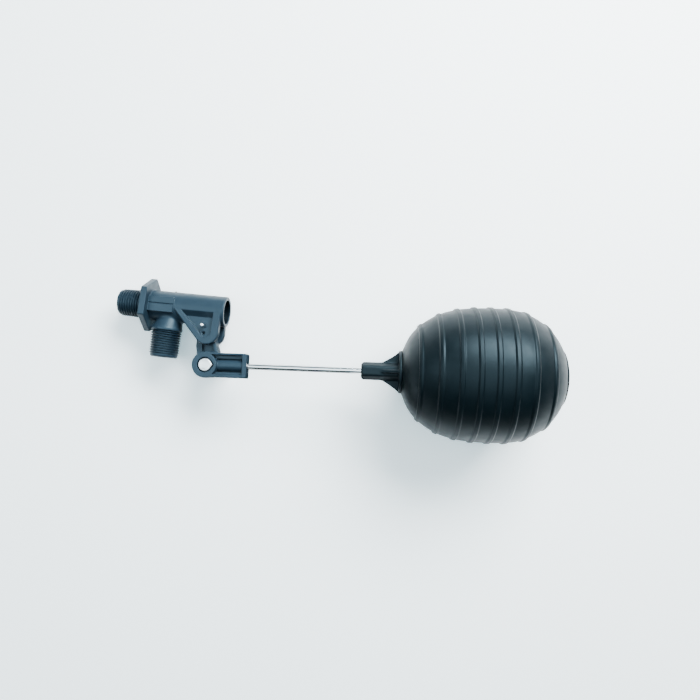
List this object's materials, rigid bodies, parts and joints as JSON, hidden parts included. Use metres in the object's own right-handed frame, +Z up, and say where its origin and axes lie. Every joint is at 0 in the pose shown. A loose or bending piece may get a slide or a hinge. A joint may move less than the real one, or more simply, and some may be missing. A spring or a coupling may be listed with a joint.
{
  "type": "float valve",
  "caption": "Plastic float valve: threaded inlet with hex flange, side outlet, plunger, lever on a pin, clamped rod holder, rod and ribbed egg-shaped float.",
  "frame": {"origin": "on the ground under the middle of the part as it lies", "axes": "+Z up from the ground the part lies on, +X along the valve's tube towards the float, +Y away from the outlet, which points towards -Y and is down in use"},
  "size_m": [0.3544, 0.105, 0.105],
  "materials": {
    "slate_plastic": "satin moulded",
    "grey_plastic": "satin moulded",
    "dark_plastic": "satin moulded",
    "black_plastic": "satin moulded",
    "rubber": "matt",
    "stainless": "bright drawn",
    "brass": "turned"
  },
  "bodies": {
    "valve": {"valve_body": "slate_plastic", "seat_nozzle": "grey_plastic", "nozzle_o_ring": "rubber", "pivot_pin": "stainless", "pivot_pin_clip": "stainless"},
    "plunger": {"plunger": "dark_plastic", "seal_disc": "rubber", "plunger_o_ring": "rubber"},
    "lever": {"lever": "slate_plastic", "flat_washer": "stainless"},
    "arm": {"rod_holder": "slate_plastic", "holder_insert": "brass", "clamp_bolt": "stainless", "float_rod": "stainless", "float_stem": "black_plastic", "stem_insert": "brass", "float_shell": "black_plastic", "float_end_cap": "black_plastic"},
    "wing_nut": {"wing_nut": "stainless", "lock_washer": "stainless"}
  },
  "joints": [
    {"name": "lever_pivot", "type": "hinge", "parent": "valve", "child": "lever", "pos_m": [-0.10459, 0.01597, 0.02442], "axis": [0.0705, -0.0633, -0.9955], "range_deg": [0, 30]},
    {"name": "plunger_slide", "type": "slide", "parent": "valve", "child": "plunger", "axis": [0.9975, 0, 0.0706], "range_m": [0, 0.0064]},
    {"name": "arm_adjust", "type": "hinge", "parent": "lever", "child": "arm", "pos_m": [-0.09835, -0.01467, 0.02681], "axis": [-0.0705, 0.0633, 0.9955], "range_deg": [-60, 40]},
    {"name": "wing_nut_turn", "type": "hinge", "parent": "arm", "child": "wing_nut", "pos_m": [-0.0975, -0.01543, 0.01487], "axis": [0.0705, -0.0633, -0.9955], "continuous": true}
  ],
  "couplings": [
    {"joint": "plunger_slide", "follows": "lever_pivot", "m_per_rad": 0.0122}
  ]
}
